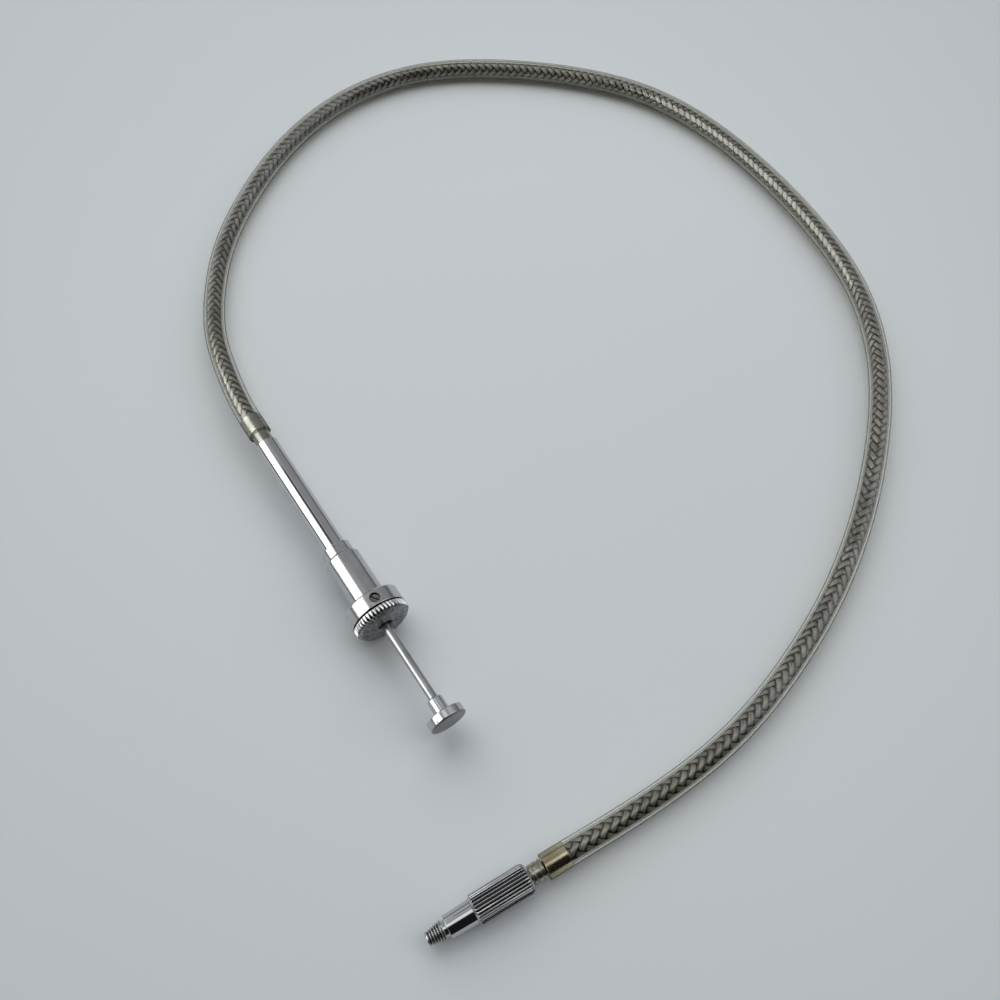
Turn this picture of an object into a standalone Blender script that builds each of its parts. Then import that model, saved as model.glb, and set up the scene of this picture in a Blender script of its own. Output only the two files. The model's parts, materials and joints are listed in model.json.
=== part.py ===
"""Cable shutter release: thumb handle with a disc lock, braided cable in a clear sheath, threaded tip.

The handle lies along X with its thumb button at +X, resting on its flange. The cable leaves it at -X,
loops round once on the surface and ends in the tip. Units are metres, +Z is up.
"""

import math

import bmesh
import bpy
import numpy as np
from mathutils import Matrix, Vector

MM = 0.001

# Radii of the handle's turned pieces.
FLANGE_R = 5.8 * MM
BARREL_R = 3.62 * MM
COLLAR_R = 3.05 * MM
TUBE_R = 2.38 * MM
TUBE_WALL = 0.43 * MM
NECK_R = 1.94 * MM
ROD_R = 0.9 * MM
HUB_R = 1.57 * MM
BUTTON_R = 3.75 * MM

# Stations along the handle, from the cable end to the thumb end.
FERRULE_TAIL_X = -39.5 * MM
SHEATH_X = -35.0 * MM
TUBE_X = -32.0 * MM
COLLAR_X = -2.8 * MM
BARREL_X = -0.3 * MM
FLANGE_X = 10.8 * MM
FLANGE_FRONT_X = 14.2 * MM
DISC_X = 14.5 * MM
DISC_FACE_X = 16.6 * MM
HUB_X = 34.0 * MM
BUTTON_X = 37.5 * MM
BUTTON_FACE_X = 39.5 * MM
AXIS_Z = FLANGE_R

# Clearances: between pieces that stay put, and round a piece that runs in another.
GAP = 0.05 * MM
FACE_GAP = 0.3 * MM
RUNNING = 0.08 * MM

# Disc lock.
TEETH = 44
TOOTH_DEPTH = 0.3 * MM
SPIGOT_R = 1.95 * MM
CAM_R = 2.22 * MM
CAM_OFFSET = 0.08 * MM
DISC_HUB_R = 3.4 * MM
BALL_R = 0.62 * MM
BALL_X = 13.1 * MM
BALL_RADIAL = 1.62 * MM
SCREW_X = 12.7 * MM
SCREW_R = 0.95 * MM
SCREW_ANGLE = math.radians(6)

# Return spring and the pieces that it works between.
STOP_X = 6.7 * MM
STOP_LENGTH = 1.5 * MM
STOP_R = 1.85 * MM
BUSH_X = 8.5 * MM
SEAT_X = -30.4 * MM
SEAT_LENGTH = 1.6 * MM
SPRING_R = 1.5 * MM
SPRING_WIRE_R = 0.22 * MM
SPRING_TURNS = 19
COUPLING_TAIL_X = -12.5 * MM

# Cable layers, as outer and inner radii.
SHEATH_R, SHEATH_BORE = 2.405 * MM, 1.95 * MM
BRAID_R, BRAID_BORE = 1.75 * MM, 1.35 * MM
CONDUIT_R, CONDUIT_BORE = 1.1 * MM, 0.65 * MM
WIRE_R = 0.45 * MM
WIRE_SOCKET_R = 0.55 * MM
CABLE_POINTS = 52

# Tip, with its stations measured from the thread's end towards the cable.
TIP_END = Vector((68.1, -23.1, 2.83)) * MM
TIP_DIRECTION = Vector((0.071, 0.9975, 0.0)).normalized()
THREAD_END_R, THREAD_BASE_R = 1.25 * MM, 1.78 * MM
THREAD_LENGTH = 3.75 * MM
THREAD_PITCH = 0.5 * MM
THREAD_DEPTH = 0.22 * MM
NOSE_R, NOSE_BASE_R = 2.12 * MM, 2.28 * MM
GRIP_AT, GRIP_END = 9.1 * MM, 20.5 * MM
GRIP_R = 2.83 * MM
FLUTES = 28
FLUTE_DEPTH = 0.2 * MM
NECK_AT, NECK_END = 20.7 * MM, 23.2 * MM
TIP_FERRULE_END = 28.2 * MM
PIN_R = 0.75 * MM
PIN_AT, PIN_END = 0.4 * MM, 20.4 * MM
WIRE_END_AT = 1.4 * MM

# The cable's way over the surface, in millimetres, from the handle to the tip.
ROUTE_MM = [
    (-48.0, 0.6, 5.5),
    (-55.0, 1.7, 5.0),
    (-62.4, 3.3, 4.4),
    (-76.5, 9.5, 3.3),
    (-88.8, 18.2, 2.6),
    (-98.2, 28.4, 2.43),
    (-106.0, 39.8, 2.43),
    (-112.0, 52.6, 2.43),
    (-115.4, 73.3, 2.43),
    (-112.7, 87.9, 2.43),
    (-102.2, 106.5, 2.43),
    (-87.9, 122.3, 2.43),
    (-74.8, 132.0, 2.43),
    (-56.5, 138.6, 2.43),
    (-34.0, 140.6, 2.55),
    (-13.6, 139.2, 2.8),
    (6.1, 134.4, 3.0),
    (23.6, 124.4, 3.2),
    (37.7, 111.0, 3.2),
    (47.0, 99.4, 3.05),
    (55.3, 86.5, 2.9),
    (61.8, 73.3, 2.7),
    (66.2, 61.2, 2.55),
    (69.0, 51.1, 2.48),
    (70.7, 41.2, 2.43),
    (71.3, 31.6, 2.43),
    (71.2, 22.2, 2.45),
    (70.7, 13.0, 2.6),
]

ROUND = 40


def clear_scene():
    for obj in list(bpy.data.objects):
        bpy.data.objects.remove(obj, do_unlink=True)


def material(name, color, metallic, roughness, alpha=1.0):
    made = bpy.data.materials.new(name)
    made.use_nodes = True
    shader = made.node_tree.nodes["Principled BSDF"]
    shader.inputs["Base Color"].default_value = (*color, 1.0)
    shader.inputs["Metallic"].default_value = metallic
    shader.inputs["Roughness"].default_value = roughness
    shader.inputs["Alpha"].default_value = alpha
    return made


def add_object(name, bm, finish, place=None):
    """Close off a bmesh as a named object with outward faces, moved to its place."""
    bmesh.ops.remove_doubles(bm, verts=bm.verts, dist=1e-7)
    bmesh.ops.recalc_face_normals(bm, faces=bm.faces)
    for face in bm.faces:
        face.smooth = len(face.verts) == 4
    mesh = bpy.data.meshes.new(name)
    bm.to_mesh(mesh)
    bm.free()
    mesh.materials.append(finish)
    obj = bpy.data.objects.new(name, mesh)
    bpy.context.collection.objects.link(obj)
    if place:
        obj.matrix_world = place
    return obj


def turned(name, profile, finish, place=None, steps=ROUND):
    """A lathe piece: the closed outline of (station, radius) points spun about the X axis."""
    bm = bmesh.new()
    verts = [bm.verts.new((x, 0.0, r)) for x, r in profile]
    edges = [bm.edges.new((a, b)) for a, b in zip(verts, verts[1:] + verts[:1])]
    if min(r for _, r in profile) == 0.0:
        on_axis = [v for v in verts if v.co.z == 0.0]
        edges = [e for e in edges if not all(v in on_axis for v in e.verts)]
    bmesh.ops.spin(
        bm,
        geom=verts + edges,
        cent=(0, 0, 0),
        axis=(1, 0, 0),
        dvec=(0, 0, 0),
        angle=math.tau,
        steps=steps,
        use_merge=True,
    )
    loose = [e for e in bm.edges if not e.link_faces]
    bmesh.ops.delete(bm, geom=loose, context="EDGES")
    return add_object(name, bm, finish, place)


def ring_stack(name, rings, finish, place=None):
    """A closed piece through rings of equal point counts. The last ring joins the first."""
    bm = bmesh.new()
    rows = [[bm.verts.new(point) for point in ring] for ring in rings]
    for row, after in zip(rows, rows[1:] + rows[:1]):
        for i in range(len(row)):
            j = (i + 1) % len(row)
            bm.faces.new((row[i], row[j], after[j], after[i]))
    return add_object(name, bm, finish, place)


def ring(x, radius, count):
    """Points round the X axis at one station. The radius may be a function of the angle."""
    points = []
    for i in range(count):
        angle = math.tau * i / count
        r = radius(angle) if callable(radius) else radius
        points.append((x, r * math.sin(angle), r * math.cos(angle)))
    return points


def cut(target, cutter, name):
    """Subtract a hidden helper from a piece."""
    cutter.hide_render = True
    cutter.display_type = "WIRE"
    modifier = target.modifiers.new(name, "BOOLEAN")
    modifier.operation = "DIFFERENCE"
    modifier.solver = "EXACT"
    modifier.object = cutter


def cylinder(name, radius, depth, place, steps=24):
    bm = bmesh.new()
    bmesh.ops.create_cone(
        bm, cap_ends=True, segments=steps, radius1=radius, radius2=radius, depth=depth
    )
    mesh = bpy.data.meshes.new(name)
    bm.to_mesh(mesh)
    bm.free()
    obj = bpy.data.objects.new(name, mesh)
    bpy.context.collection.objects.link(obj)
    obj.matrix_world = place
    return obj


def box(name, size, place):
    bm = bmesh.new()
    bmesh.ops.create_cube(bm, size=1.0, matrix=Matrix.Diagonal((*size, 1.0)))
    mesh = bpy.data.meshes.new(name)
    bm.to_mesh(mesh)
    bm.free()
    obj = bpy.data.objects.new(name, mesh)
    bpy.context.collection.objects.link(obj)
    obj.matrix_world = place
    return obj


def handle_place():
    return Matrix.Translation((0, 0, AXIS_Z))


def tip_place():
    """Takes a tip piece from its own axis, +X towards the cable, to where the tip lies."""
    turn = TIP_DIRECTION.to_track_quat("X", "Z").to_matrix().to_4x4()
    return Matrix.Translation(TIP_END) @ turn


def radial_place(x, radial, angle):
    """A place on the handle at a radius from its axis. The place's Z points outwards."""
    around = Matrix.Rotation(-angle, 4, "X")
    return handle_place() @ Matrix.Translation((x, 0, 0)) @ around @ Matrix.Translation((0, 0, radial))


def finishes():
    return {
        "chrome": material("chrome", (0.72, 0.73, 0.75), 1.0, 0.14),
        "steel": material("steel", (0.55, 0.56, 0.58), 1.0, 0.3),
        "blasted_steel": material("blasted_steel", (0.2, 0.2, 0.21), 1.0, 0.55),
        "nickel": material("nickel", (0.5, 0.46, 0.4), 1.0, 0.28),
        "brass": material("brass", (0.55, 0.44, 0.24), 1.0, 0.3),
        "braid_steel": material("braid_steel", (0.38, 0.38, 0.38), 1.0, 0.4),
        "clear_sheath": material("clear_sheath", (0.78, 0.74, 0.6), 0.0, 0.1, 0.35),
    }


# ---- Handle ----


def make_button(finish):
    blind = BUTTON_X - 0.4 * MM
    chamfer = 0.25 * MM
    bore = ROD_R + GAP
    profile = [
        (HUB_X, bore),
        (HUB_X, HUB_R - chamfer),
        (HUB_X + chamfer, HUB_R),
        (BUTTON_X, HUB_R),
        (BUTTON_X, BUTTON_R - chamfer),
        (BUTTON_X + chamfer, BUTTON_R),
        (BUTTON_FACE_X - 0.15 * MM, BUTTON_R),
        (BUTTON_FACE_X, BUTTON_R - 0.15 * MM),
        (BUTTON_FACE_X, 0.0),
        (blind, 0.0),
        (blind, bore),
    ]
    return turned("thumb_button", profile, finish, handle_place(), steps=48)


def make_rod(finish):
    start = STOP_X - 0.1 * MM
    end = BUTTON_X - 0.5 * MM
    profile = [(start, 0.0), (start, ROD_R), (end, ROD_R), (end, 0.0)]
    return turned("plunger_rod", profile, finish, handle_place(), steps=24)


def make_stop(finish):
    profile = ring_profile(STOP_X, STOP_X + STOP_LENGTH, ROD_R + GAP, STOP_R)
    return turned("plunger_stop", profile, finish, handle_place(), steps=32)


def ring_profile(start, end, bore, outer):
    return [(start, bore), (start, outer), (end, outer), (end, bore)]


def make_wire_coupling(finish):
    profile = ring_profile(COUPLING_TAIL_X, STOP_X - 0.2 * MM, WIRE_SOCKET_R, ROD_R)
    return turned("wire_coupling", profile, finish, handle_place(), steps=24)


def make_guide_bush(finish):
    """The rod runs in this bush. Its collar stops the plunger, and a hole in it holds the lock ball."""
    collar_end = 10.3 * MM
    front = 15.9 * MM
    bore = ROD_R + RUNNING
    profile = [
        (BUSH_X, bore),
        (BUSH_X, 2.85 * MM),
        (collar_end, 2.85 * MM),
        (collar_end, SPIGOT_R),
        (front, SPIGOT_R),
        (front, bore),
    ]
    bush = turned("guide_bush", profile, finish, handle_place(), steps=48)
    hole = cylinder("ball_hole_cutter", BALL_R + RUNNING, 3 * MM, radial_place(BALL_X, 2 * MM, 0))
    cut(bush, hole, "ball hole")
    return bush


def make_lock_ball(finish):
    bm = bmesh.new()
    bmesh.ops.create_icosphere(bm, subdivisions=2, radius=BALL_R)
    return add_object("lock_ball", bm, finish, radial_place(BALL_X, BALL_RADIAL, 0))


def make_lock_disc(finish):
    """Serrated disc with a hub that turns in the flange. Its eccentric bore presses the lock ball."""
    hub_x = 11.85 * MM
    groove_x, groove_end = 12.1 * MM, 13.3 * MM
    groove_r = 2.85 * MM
    knurl_end = 15.8 * MM
    shoulder_r = 4.95 * MM
    wall_x = 16.05 * MM
    count = TEETH * 2

    def toothed(angle):
        phase = (angle * TEETH / math.tau) % 1.0
        return FLANGE_R - TOOTH_DEPTH * abs(2.0 * phase - 1.0)

    def eccentric(angle):
        across = CAM_OFFSET * math.cos(angle)
        return across + math.sqrt(CAM_R**2 - (CAM_OFFSET * math.sin(angle)) ** 2)

    root_r = FLANGE_R - TOOTH_DEPTH
    stations = [
        (hub_x, DISC_HUB_R),
        (groove_x, DISC_HUB_R),
        (groove_x, groove_r),
        (groove_end, groove_r),
        (groove_end, DISC_HUB_R),
        (DISC_X, DISC_HUB_R),
        (DISC_X, toothed),
        (knurl_end, toothed),
        (knurl_end, root_r),
        (knurl_end + 0.35 * MM, root_r - 0.1 * MM),
        (knurl_end + 0.65 * MM, root_r - 0.35 * MM),
        (DISC_FACE_X, shoulder_r),
        (DISC_FACE_X, 1.3 * MM),
        (wall_x, 1.15 * MM),
        (wall_x, eccentric),
        (hub_x, eccentric),
    ]
    rings = [ring(x, radius, count) for x, radius in stations]
    return ring_stack("lock_disc", rings, finish, handle_place())


def make_housing(finish):
    """Barrel and flange in one piece, bored for the tube, the bush and the disc's hub."""
    counterbore_x = 11.7 * MM
    step_x = 10.45 * MM
    tube_stop_x = 6.2 * MM
    chamfer = 0.45 * MM
    profile = [
        (BARREL_X + 0.1 * MM, TUBE_R + GAP),
        (BARREL_X + 0.1 * MM, BARREL_R - chamfer),
        (BARREL_X + 0.1 * MM + chamfer, BARREL_R),
        (FLANGE_X, BARREL_R),
        (FLANGE_X, FLANGE_R - chamfer),
        (FLANGE_X + chamfer, FLANGE_R),
        (FLANGE_FRONT_X - 0.12 * MM, FLANGE_R),
        (FLANGE_FRONT_X, FLANGE_R - 0.12 * MM),
        (FLANGE_FRONT_X, DISC_HUB_R + RUNNING),
        (counterbore_x, DISC_HUB_R + RUNNING),
        (counterbore_x, SPIGOT_R + GAP),
        (step_x, SPIGOT_R + GAP),
        (step_x, 2.95 * MM),
        (tube_stop_x, 2.95 * MM),
        (tube_stop_x, TUBE_R + GAP),
    ]
    housing = turned("lock_housing", profile, finish, handle_place(), steps=64)
    place = radial_place(SCREW_X, FLANGE_R, SCREW_ANGLE)
    hole = cylinder("screw_hole_cutter", SCREW_R + GAP, 6 * MM, place)
    cut(housing, hole, "screw hole")
    return housing


def make_lock_screw(finish):
    """Slotted grub screw. Its dog point runs in the disc hub's groove and keeps the disc on."""
    point_r, body_r, top_r = 3.0 * MM, 3.7 * MM, 5.35 * MM
    profile = [
        (point_r, 0.0),
        (point_r, 0.42 * MM),
        (body_r - 0.15 * MM, 0.42 * MM),
        (body_r, SCREW_R),
        (top_r - 0.12 * MM, SCREW_R),
        (top_r, SCREW_R - 0.12 * MM),
        (top_r, 0.0),
    ]
    outwards = Matrix.Rotation(-math.pi / 2, 4, "Y")
    place = radial_place(SCREW_X, 0, SCREW_ANGLE) @ outwards
    screw = turned("lock_screw", profile, finish, place, steps=24)
    slot_place = radial_place(SCREW_X, top_r, SCREW_ANGLE) @ Matrix.Rotation(math.radians(35), 4, "Z")
    slot = box("screw_slot_cutter", (3 * MM, 0.32 * MM, 0.9 * MM), slot_place)
    cut(screw, slot, "slot")
    return screw


def make_step_collar(finish):
    end = BARREL_X - 0.1 * MM
    bore = TUBE_R + GAP
    profile = [
        (COLLAR_X, bore),
        (COLLAR_X, COLLAR_R - 0.4 * MM),
        (COLLAR_X + 0.4 * MM, COLLAR_R),
        (end - 0.1 * MM, COLLAR_R),
        (end, COLLAR_R - 0.1 * MM),
        (end, bore),
    ]
    return turned("step_collar", profile, finish, handle_place(), steps=48)


def make_handle_tube(finish):
    end = 6.0 * MM
    bore = TUBE_R - TUBE_WALL
    profile = [
        (TUBE_X, bore),
        (TUBE_X, TUBE_R - 0.12 * MM),
        (TUBE_X + 0.12 * MM, TUBE_R),
        (end, TUBE_R),
        (end, bore),
    ]
    return turned("handle_tube", profile, finish, handle_place(), steps=40)


def make_spring_seat(finish):
    bore = ROD_R + 0.12 * MM
    outer = TUBE_R - TUBE_WALL - GAP
    profile = ring_profile(SEAT_X, SEAT_X + SEAT_LENGTH, bore, outer)
    return turned("spring_seat", profile, finish, handle_place(), steps=32)


def make_return_spring(finish):
    """Coil spring between the seat and the plunger's stop, with its end coils drawn closer."""
    start = SEAT_X + SEAT_LENGTH + SPRING_WIRE_R + 0.1 * MM
    end = STOP_X - SPRING_WIRE_R - 0.1 * MM
    per_turn = 10
    count = SPRING_TURNS * per_turn
    curve = bpy.data.curves.new("return_spring", "CURVE")
    curve.dimensions = "3D"
    curve.bevel_depth = SPRING_WIRE_R
    curve.bevel_resolution = 1
    curve.use_fill_caps = True
    spline = curve.splines.new("POLY")
    spline.points.add(count)
    closed = 1.3 * 2 * SPRING_WIRE_R
    for i in range(count + 1):
        turn = i / per_turn
        ends = min(turn, SPRING_TURNS - turn, 1.0)
        middle = (end - start - 2 * closed) * max(0.0, min(1.0, (turn - 1) / (SPRING_TURNS - 2)))
        first = closed * min(turn, 1.0)
        last = closed * max(0.0, turn - (SPRING_TURNS - 1))
        x = start + first + middle + last
        angle = math.tau * turn
        spline.points[i].co = (x, SPRING_R * math.sin(angle), SPRING_R * math.cos(angle), 1.0)
    curve.materials.append(finish)
    obj = bpy.data.objects.new("return_spring", curve)
    bpy.context.collection.objects.link(obj)
    obj.matrix_world = handle_place()
    return obj


def make_handle_ferrule(finish):
    """Holds the cable in the handle: the sheath is pushed over its tail."""
    nose_x = -30.6 * MM
    under_sheath = 1.8 * MM
    bore = CONDUIT_R + 0.15 * MM
    profile = [
        (FERRULE_TAIL_X, bore),
        (FERRULE_TAIL_X, under_sheath),
        (SHEATH_X + FACE_GAP, under_sheath),
        (SHEATH_X + FACE_GAP, NECK_R - 0.05 * MM),
        (TUBE_X - 0.4 * MM, NECK_R - 0.05 * MM),
        (TUBE_X - 0.1 * MM, TUBE_R - TUBE_WALL - GAP),
        (nose_x, TUBE_R - TUBE_WALL - GAP),
        (nose_x, WIRE_R + 0.15 * MM),
        (nose_x - 0.6 * MM, WIRE_R + 0.15 * MM),
        (nose_x - 0.6 * MM, bore),
    ]
    return turned("handle_ferrule", profile, finish, handle_place(), steps=32)


# ---- Cable ----


def smooth_route():
    """Evenly spaced points on a clamped cubic spline from the handle's ferrule to the tip's."""
    start = np.array((FERRULE_TAIL_X - FACE_GAP, 0.0, AXIS_Z))
    finish = np.array(TIP_END + TIP_DIRECTION * (TIP_FERRULE_END + FACE_GAP))
    knots = np.vstack([start, np.array(ROUTE_MM) * MM, finish])
    spans = np.linalg.norm(np.diff(knots, axis=0), axis=1)
    slopes = np.diff(knots, axis=0) / spans[:, None]
    count = len(knots)
    system = np.zeros((count, count))
    right = np.zeros((count, 3))
    system[0, 0] = system[-1, -1] = 1.0
    right[0] = (-1.0, 0.0, 0.0)
    right[-1] = -np.array(TIP_DIRECTION)
    for i in range(1, count - 1):
        before, after = spans[i - 1], spans[i]
        system[i, i - 1 : i + 2] = after, 2.0 * (before + after), before
        right[i] = 3.0 * (after * slopes[i - 1] + before * slopes[i])
    tangents = np.linalg.solve(system, right)
    fine = []
    for i, span in enumerate(spans):
        for s in np.linspace(0.0, 1.0, 40, endpoint=False):
            h00, h10 = 2 * s**3 - 3 * s**2 + 1, s**3 - 2 * s**2 + s
            h01, h11 = 1 - h00, s**3 - s**2
            bend = h10 * tangents[i] + h11 * tangents[i + 1]
            fine.append(h00 * knots[i] + h01 * knots[i + 1] + span * bend)
    fine = np.vstack([fine, knots[-1]])
    along = np.concatenate([[0.0], np.cumsum(np.linalg.norm(np.diff(fine, axis=0), axis=1))])
    wanted = np.linspace(0.0, along[-1], CABLE_POINTS)
    return np.column_stack([np.interp(wanted, along, fine[:, k]) for k in range(3)])


def cable_layer(name, route, from_x, to_station, outer, bore, sides, finish):
    """One layer of the cable: it starts in the handle at from_x and ends at a station of the tip."""
    first = [(from_x, 0.0, AXIS_Z)]
    last = [tuple(TIP_END + TIP_DIRECTION * to_station)]
    same_start = abs(from_x - route[0][0]) < 1e-6
    same_end = (Vector(last[0]) - Vector(route[-1])).length < 1e-6
    points = ([] if same_start else first) + [tuple(p) for p in route] + ([] if same_end else last)
    curve = bpy.data.curves.new(name, "CURVE")
    curve.dimensions = "3D"
    curve.bevel_depth = outer
    curve.bevel_resolution = sides // 2 - 2
    curve.use_fill_caps = not bore
    spline = curve.splines.new("POLY")
    spline.points.add(len(points) - 1)
    for point, place in zip(spline.points, points):
        point.co = (*place, 1.0)
    curve.materials.append(finish)
    obj = bpy.data.objects.new(name, curve)
    bpy.context.collection.objects.link(obj)
    if bore:
        wall = obj.modifiers.new("wall", "SOLIDIFY")
        wall.thickness = outer - bore
        wall.offset = -1.0
    return obj


def make_cable(finish):
    route = smooth_route()
    braid_x = FERRULE_TAIL_X - FACE_GAP
    braid_end = TIP_FERRULE_END + FACE_GAP
    clear, braid, steel = finish["clear_sheath"], finish["braid_steel"], finish["steel"]
    cable_layer("cable_sheath", route, SHEATH_X, NECK_END + FACE_GAP, SHEATH_R, SHEATH_BORE, 12, clear)
    cable_layer("cable_braid", route, braid_x, braid_end, BRAID_R, BRAID_BORE, 8, braid)
    cable_layer("cable_conduit", route, -31.5 * MM, 22.4 * MM, CONDUIT_R, CONDUIT_BORE, 8, steel)
    cable_layer("inner_wire", route, -10.5 * MM, WIRE_END_AT, WIRE_R, 0.0, 8, steel)


# ---- Tip ----


def make_tip_ferrule(finish):
    profile = ring_profile(NECK_END + FACE_GAP, TIP_FERRULE_END, CONDUIT_R + 0.15 * MM, 1.8 * MM)
    return turned("tip_ferrule", profile, finish, tip_place(), steps=32)


def make_tip_neck(finish):
    """Grooved neck on the cable. Its headed stem sits inside the grip, which turns on it."""
    head_at, head_end = 15.0 * MM, 17.6 * MM
    stem_r, head_r, neck_r = 1.3 * MM, 1.65 * MM, 1.85 * MM
    bore_pin, bore_wire = PIN_R + 0.1 * MM, WIRE_R + 0.15 * MM
    groove = 0.18 * MM
    profile = [
        (head_at, bore_pin),
        (head_at, head_r),
        (head_end, head_r),
        (head_end, stem_r),
        (NECK_AT, stem_r),
        (NECK_AT, neck_r - 0.15 * MM),
        (NECK_AT + 0.15 * MM, neck_r),
        (21.3 * MM, neck_r),
        (21.4 * MM, neck_r - groove),
        (21.6 * MM, neck_r - groove),
        (21.7 * MM, neck_r),
        (22.4 * MM, neck_r + 0.03 * MM),
        (22.5 * MM, neck_r - groove),
        (22.7 * MM, neck_r - groove),
        (22.8 * MM, neck_r + 0.05 * MM),
        (NECK_END, neck_r + 0.05 * MM),
        (NECK_END, CONDUIT_R + 0.1 * MM),
        (22.1 * MM, CONDUIT_R + 0.1 * MM),
        (22.1 * MM, bore_wire),
        (20.9 * MM, bore_wire),
        (20.9 * MM, bore_pin),
    ]
    return turned("tip_neck", profile, finish, tip_place(), steps=32)


def make_grip_sleeve(finish):
    """Fluted sleeve that screws the tip into the camera. It turns freely on the neck's head."""
    count = FLUTES * 2
    bore, rear_bore = 1.75 * MM, 1.38 * MM
    wall_at = 17.9 * MM
    crown_r = GRIP_R - FLUTE_DEPTH

    def fluted(angle):
        phase = (angle * FLUTES / math.tau) % 1.0
        return GRIP_R - FLUTE_DEPTH * abs(2.0 * phase - 1.0)

    stations = [
        (GRIP_AT, bore),
        (GRIP_AT, crown_r - 0.15 * MM),
        (GRIP_AT + 0.15 * MM, crown_r),
        (GRIP_AT + 0.45 * MM, fluted),
        (GRIP_END - 0.9 * MM, fluted),
        (GRIP_END - 0.35 * MM, crown_r),
        (GRIP_END - 0.1 * MM, crown_r - 0.3 * MM),
        (GRIP_END, crown_r - 0.6 * MM),
        (GRIP_END, rear_bore),
        (wall_at, rear_bore),
        (wall_at, bore),
    ]
    rings = [ring(x, radius, count) for x, radius in stations]
    return ring_stack("grip_sleeve", rings, finish, tip_place())


def make_threaded_nipple(finish):
    """Plain nose with the conical release thread. Its tail is fixed in the grip sleeve."""
    count = 24
    per_pitch = 5
    bore = PIN_R + RUNNING
    tail_r, tail_end = 1.7 * MM, 14.6 * MM
    rows = round(THREAD_LENGTH / THREAD_PITCH) * per_pitch

    def thread(station):
        share = station / THREAD_LENGTH
        crest = THREAD_END_R + (THREAD_BASE_R - THREAD_END_R) * share
        fade = min(1.0, 6.0 * share, 8.0 * (1.0 - share))

        def radius(angle):
            phase = (station / THREAD_PITCH - angle / math.tau) % 1.0
            return crest - THREAD_DEPTH * fade * abs(2.0 * phase - 1.0)

        return radius

    rings = [ring(0.0, bore, count)]
    for i in range(rows + 1):
        station = THREAD_LENGTH * i / rows
        rings.append(ring(station, thread(station), count))
    relief = THREAD_LENGTH + 0.15 * MM
    plain = [
        (relief, THREAD_BASE_R - 0.1 * MM),
        (relief, NOSE_R - 0.1 * MM),
        (relief + 0.12 * MM, NOSE_R),
        (GRIP_AT - GAP, NOSE_BASE_R),
        (GRIP_AT - GAP, tail_r),
        (tail_end, tail_r),
        (tail_end, bore),
    ]
    rings += [ring(x, radius, count) for x, radius in plain]
    return ring_stack("threaded_nipple", rings, finish, tip_place())


def make_tip_pin(finish):
    """The pin that trips the camera. It is bored to run over the end of the inner wire."""
    profile = [
        (PIN_AT, 0.0),
        (PIN_AT, PIN_R - 0.15 * MM),
        (PIN_AT + 0.15 * MM, PIN_R),
        (PIN_END, PIN_R),
        (PIN_END, WIRE_SOCKET_R),
        (PIN_AT + 0.8 * MM, WIRE_SOCKET_R),
        (PIN_AT + 0.8 * MM, 0.0),
    ]
    return turned("tip_pin", profile, finish, tip_place(), steps=24)


def build():
    clear_scene()
    finish = finishes()
    chrome, steel = finish["chrome"], finish["steel"]
    make_button(chrome)
    make_rod(steel)
    make_stop(finish["brass"])
    make_wire_coupling(finish["brass"])
    make_guide_bush(finish["brass"])
    make_lock_ball(steel)
    make_lock_disc(finish["blasted_steel"])
    make_housing(chrome)
    make_lock_screw(steel)
    make_step_collar(chrome)
    make_handle_tube(chrome)
    make_spring_seat(finish["brass"])
    make_return_spring(steel)
    make_handle_ferrule(finish["nickel"])
    make_cable(finish)
    make_tip_ferrule(finish["brass"])
    make_tip_neck(finish["nickel"])
    make_grip_sleeve(chrome)
    make_threaded_nipple(chrome)
    make_tip_pin(steel)


build()
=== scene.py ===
"""Looks of the cable shutter release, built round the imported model. Units are metres, +Z is up.

The handle's turned pieces are modelled along their own X axis and then put in place, and so are the tip's.
The cable is a clear sheath over a braid of twelve flat strands, all laid along one smooth route.
"""

import json
import math

import bmesh
import bpy
import numpy as np
from mathutils import Matrix, Vector


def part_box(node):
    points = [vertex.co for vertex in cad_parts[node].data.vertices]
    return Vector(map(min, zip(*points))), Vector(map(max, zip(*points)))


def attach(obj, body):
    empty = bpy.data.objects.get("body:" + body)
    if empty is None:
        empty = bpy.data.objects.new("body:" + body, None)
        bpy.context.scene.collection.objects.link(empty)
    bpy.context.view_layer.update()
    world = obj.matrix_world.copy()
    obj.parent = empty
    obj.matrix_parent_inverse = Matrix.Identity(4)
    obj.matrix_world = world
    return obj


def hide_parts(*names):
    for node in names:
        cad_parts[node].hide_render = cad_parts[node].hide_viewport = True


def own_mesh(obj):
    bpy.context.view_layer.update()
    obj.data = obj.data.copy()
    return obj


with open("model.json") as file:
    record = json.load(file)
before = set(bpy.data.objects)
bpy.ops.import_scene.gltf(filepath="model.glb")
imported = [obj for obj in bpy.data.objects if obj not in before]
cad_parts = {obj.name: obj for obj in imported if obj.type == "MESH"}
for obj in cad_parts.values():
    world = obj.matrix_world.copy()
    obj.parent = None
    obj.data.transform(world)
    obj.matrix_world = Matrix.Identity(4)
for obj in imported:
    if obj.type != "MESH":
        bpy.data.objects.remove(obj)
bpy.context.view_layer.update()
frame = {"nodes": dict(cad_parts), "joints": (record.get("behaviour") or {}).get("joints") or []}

MM = 0.001

# Edges sharper than this stay crisp in the shading.
CREASE = math.radians(32)


def low(node):
    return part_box(node)[0]


def high(node):
    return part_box(node)[1]


def radius_of(node):
    return (high(node).z - low(node).z) / 2


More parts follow.
